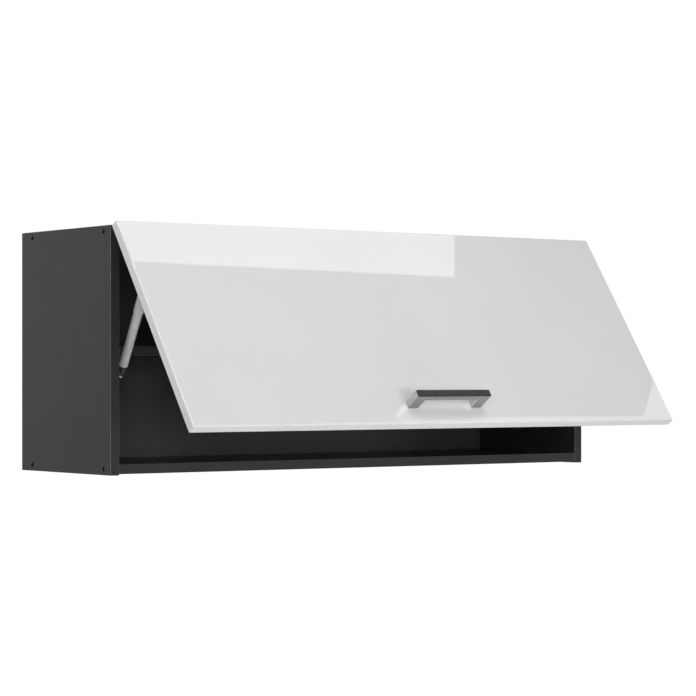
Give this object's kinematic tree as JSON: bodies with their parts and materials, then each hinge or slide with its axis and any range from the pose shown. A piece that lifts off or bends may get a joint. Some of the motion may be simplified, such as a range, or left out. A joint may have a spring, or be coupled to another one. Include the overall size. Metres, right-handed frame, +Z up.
{
  "type": "lift up wall cabinet",
  "caption": "Wall cabinet with a top-hung lift-up flap on link hinges and gas struts, an inner shelf, a bar handle and wall hangers.",
  "frame": {"origin": "middle of the bottom panel's rear edge, on the plane of the wall", "axes": "+X along the cabinet's length, +Y into the wall, +Z up; the flap faces -Y"},
  "size_m": [1, 0.5469, 0.406],
  "materials": {
    "carcass_board": "dark grey melamine",
    "back_board": "dark grey coated fibreboard",
    "flap_lacquer": "light grey lacquer",
    "handle_metal": "satin",
    "handle_inlay": "satin anthracite",
    "zinc_steel": "zinc plated",
    "black_plastic": "moulded",
    "clear_rubber": "clear",
    "rod_chrome": "polished",
    "strut_coating": "satin silver grey"
  },
  "bodies": {
    "carcass": {"bottom_panel": "carcass_board", "top_panel": "carcass_board", "shelf": "carcass_board", "back_panel": "back_board", "side_panel_left": "carcass_board", "carcass_screw_1_left": "zinc_steel", "carcass_screw_2_left": "zinc_steel", "carcass_screw_3_left": "zinc_steel", "carcass_screw_4_left": "zinc_steel", "shelf_pin_1_left": "zinc_steel", "shelf_pin_2_left": "zinc_steel", "hanger_body_left": "black_plastic", "hanger_hook_left": "zinc_steel", "strut_foot_bracket_left": "zinc_steel", "hinge_plate_left": "zinc_steel", "hinge_arm_left": "zinc_steel", "hinge_plate_screw_1_left": "zinc_steel", "hinge_plate_screw_2_left": "zinc_steel", "side_panel_right": "carcass_board", "carcass_screw_1_right": "zinc_steel", "carcass_screw_2_right": "zinc_steel", "carcass_screw_3_right": "zinc_steel", "carcass_screw_4_right": "zinc_steel", "shelf_pin_1_right": "zinc_steel", "shelf_pin_2_right": "zinc_steel", "hanger_body_right": "black_plastic", "hanger_hook_right": "zinc_steel", "strut_foot_bracket_right": "zinc_steel", "hinge_plate_right": "zinc_steel", "hinge_arm_right": "zinc_steel", "hinge_plate_screw_1_right": "zinc_steel", "hinge_plate_screw_2_right": "zinc_steel"},
    "flap": {"flap_panel": "flap_lacquer", "handle_bar": "handle_metal", "handle_inlay": "handle_inlay", "strut_head_bracket_left": "zinc_steel", "handle_screw_left": "zinc_steel", "hinge_cup_left": "zinc_steel", "bumper_left": "clear_rubber", "cup_screw_1_left": "zinc_steel", "cup_screw_2_left": "zinc_steel", "strut_head_bracket_right": "zinc_steel", "handle_screw_right": "zinc_steel", "hinge_cup_right": "zinc_steel", "bumper_right": "clear_rubber", "cup_screw_1_right": "zinc_steel", "cup_screw_2_right": "zinc_steel"},
    "arm_link_left": {"arm_link_left": "zinc_steel"},
    "cup_link_left": {"cup_link_left": "zinc_steel"},
    "strut_rod_left": {"strut_rod_left": "rod_chrome", "guard_sleeve_left": "strut_coating"},
    "strut_cylinder_left": {"strut_cylinder_left": "strut_coating", "lower_socket_left": "black_plastic"},
    "arm_link_right": {"arm_link_right": "zinc_steel"},
    "cup_link_right": {"cup_link_right": "zinc_steel"},
    "strut_rod_right": {"strut_rod_right": "rod_chrome", "guard_sleeve_right": "strut_coating"},
    "strut_cylinder_right": {"strut_cylinder_right": "strut_coating", "lower_socket_right": "black_plastic"}
  },
  "joints": [
    {"name": "flap_hinge", "type": "hinge", "parent": "carcass", "child": "flap", "pos_m": [0, -0.2945, 0.388], "axis": [-1, 0, 0], "range_deg": [-35, 40]},
    {"name": "strut_head_pivot_left", "type": "hinge", "parent": "flap", "child": "strut_rod_left", "pos_m": [-0.455, -0.33598, 0.31133], "axis": [-1, 0, 0], "range_deg": [-44, 38.5]},
    {"name": "strut_stroke_left", "type": "slide", "parent": "strut_rod_left", "child": "strut_cylinder_left", "axis": [0, 0.4832, -0.8755], "range_m": [-0.052, 0.0592]},
    {"name": "arm_link_pivot_left", "type": "hinge", "parent": "carcass", "child": "arm_link_left", "pos_m": [-0.39, -0.286, 0.3675], "axis": [-1, 0, 0], "range_deg": [-35.5, 40.5]},
    {"name": "cup_link_pivot_left", "type": "hinge", "parent": "flap", "child": "cup_link_left", "pos_m": [-0.39, -0.30609, 0.37842], "axis": [-1, 0, 0], "range_deg": [-40.5, 35.5]},
    {"name": "strut_head_pivot_right", "type": "hinge", "parent": "flap", "child": "strut_rod_right", "pos_m": [0.455, -0.33598, 0.31133], "axis": [-1, 0, 0], "range_deg": [-44, 38.5]},
    {"name": "strut_stroke_right", "type": "slide", "parent": "strut_rod_right", "child": "strut_cylinder_right", "axis": [0, 0.4832, -0.8755], "range_m": [-0.052, 0.0592]},
    {"name": "arm_link_pivot_right", "type": "hinge", "parent": "carcass", "child": "arm_link_right", "pos_m": [0.39, -0.286, 0.3675], "axis": [-1, 0, 0], "range_deg": [-35.5, 40.5]},
    {"name": "cup_link_pivot_right", "type": "hinge", "parent": "flap", "child": "cup_link_right", "pos_m": [0.39, -0.30609, 0.37842], "axis": [-1, 0, 0], "range_deg": [-40.5, 35.5]}
  ],
  "couplings": [
    {"joint": "strut_head_pivot_left", "follows": "flap_hinge", "ratio": -1.0767},
    {"joint": "strut_stroke_left", "follows": "flap_hinge", "m_per_rad": 0.08383},
    {"joint": "arm_link_pivot_left", "follows": "flap_hinge", "ratio": 1},
    {"joint": "cup_link_pivot_left", "follows": "flap_hinge", "ratio": -1},
    {"joint": "strut_head_pivot_right", "follows": "flap_hinge", "ratio": -1.0767},
    {"joint": "strut_stroke_right", "follows": "flap_hinge", "m_per_rad": 0.08383},
    {"joint": "arm_link_pivot_right", "follows": "flap_hinge", "ratio": 1},
    {"joint": "cup_link_pivot_right", "follows": "flap_hinge", "ratio": -1}
  ]
}
